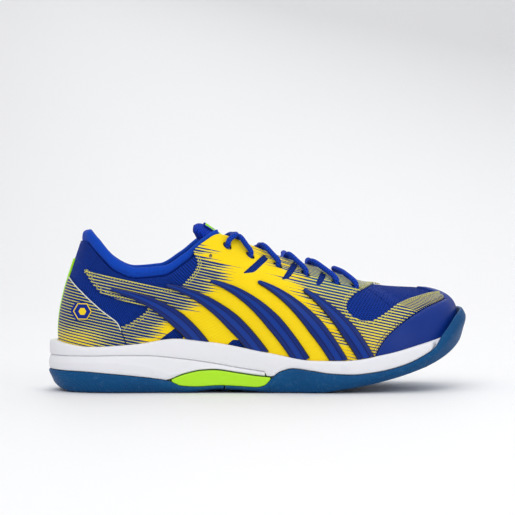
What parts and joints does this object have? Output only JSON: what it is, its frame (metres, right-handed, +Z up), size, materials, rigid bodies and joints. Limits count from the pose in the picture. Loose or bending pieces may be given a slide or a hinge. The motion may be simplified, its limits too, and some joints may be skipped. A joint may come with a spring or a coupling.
{
  "type": "indoor court shoe",
  "caption": "Low indoor court shoe for the right foot, with a wrapped rubber sole, midfoot shank, mesh and film upper, padded tongue and lace.",
  "frame": {"origin": "middle of the footprint, on the floor under the sole", "axes": "+X from the heel to the toe, -Y the outer side of the foot, +Z up"},
  "size_m": [0.2996, 0.1058, 0.12],
  "materials": {
    "outsole_rubber": "moulded non-marking gum rubber, fine texture",
    "shank_plastic": "injection moulded, satin gloss",
    "midsole_foam": "moulded EVA foam skin",
    "gel": "soft silicone gel",
    "board": "needled fibre board",
    "sock_foam": "open-cell foam",
    "sock_fabric": "brushed knit",
    "face_mesh": "open knitted mesh",
    "lining_fabric": "brushed knit lining",
    "stiffener": "pressed fibre sheet",
    "padding": "soft polyurethane foam",
    "panel_film": "printed welded film with pinstripes",
    "overlay": "smooth synthetic leather",
    "rib_plastic": "moulded flexible plastic, satin",
    "lime_trim": "welded film",
    "label_weave": "woven label",
    "collar_knit": "brushed stretch knit",
    "lace_weave": "flat braided polyester",
    "aglet_plastic": "clear crimped tip"
  },
  "bodies": {
    "shoe": {"outsole_heel": "outsole_rubber", "outsole_forefoot": "outsole_rubber", "midfoot_shank": "shank_plastic", "midsole_wedge": "midsole_foam", "midsole_carrier": "midsole_foam", "heel_gel_pad": "gel", "lasting_board": "board", "vamp_mesh": "face_mesh", "vamp_lining": "lining_fabric", "toe_puff": "stiffener", "heel_counter": "stiffener", "toe_cap": "overlay", "heel_strip": "lime_trim", "collar_roll": "collar_knit", "quarter_mesh_lateral": "face_mesh", "quarter_lining_lateral": "lining_fabric", "eyestay_tape_lateral": "stiffener", "collar_foam_lateral": "padding", "side_panel_lateral": "panel_film", "heel_panel_lateral": "overlay", "heel_badge_lateral": "panel_film", "support_rib_lateral_1": "rib_plastic", "support_rib_lateral_2": "rib_plastic", "support_rib_lateral_3": "rib_plastic", "support_rib_lateral_4": "rib_plastic", "support_rib_lateral_5": "rib_plastic", "quarter_mesh_medial": "face_mesh", "quarter_lining_medial": "lining_fabric", "eyestay_tape_medial": "stiffener", "collar_foam_medial": "padding", "side_panel_medial": "panel_film", "heel_panel_medial": "overlay", "heel_badge_medial": "panel_film", "support_rib_medial_1": "rib_plastic", "support_rib_medial_2": "rib_plastic", "support_rib_medial_3": "rib_plastic", "support_rib_medial_4": "rib_plastic", "support_rib_medial_5": "rib_plastic", "lace": "lace_weave", "aglet_lateral": "aglet_plastic", "aglet_medial": "aglet_plastic"},
    "tongue": {"tongue_face": "collar_knit", "tongue_foam": "padding", "tongue_lining": "lining_fabric", "tongue_label": "label_weave"},
    "sockliner": {"sockliner_foam": "sock_foam", "sockliner_cover": "sock_fabric"}
  },
  "joints": [
    {"name": "tongue_hinge", "type": "hinge", "parent": "shoe", "child": "tongue", "pos_m": [0.0814, 0.003, 0.0693], "axis": [0, 1, 0], "range_deg": [-15, 0], "stiffness_Nm_per_rad": 0.8, "springref_deg": 2.29},
    {"name": "sockliner_lift", "type": "hinge", "parent": "shoe", "child": "sockliner", "pos_m": [0.134, 0.006, 0.041], "axis": [0, 1, 0], "range_deg": [0, 6]}
  ]
}
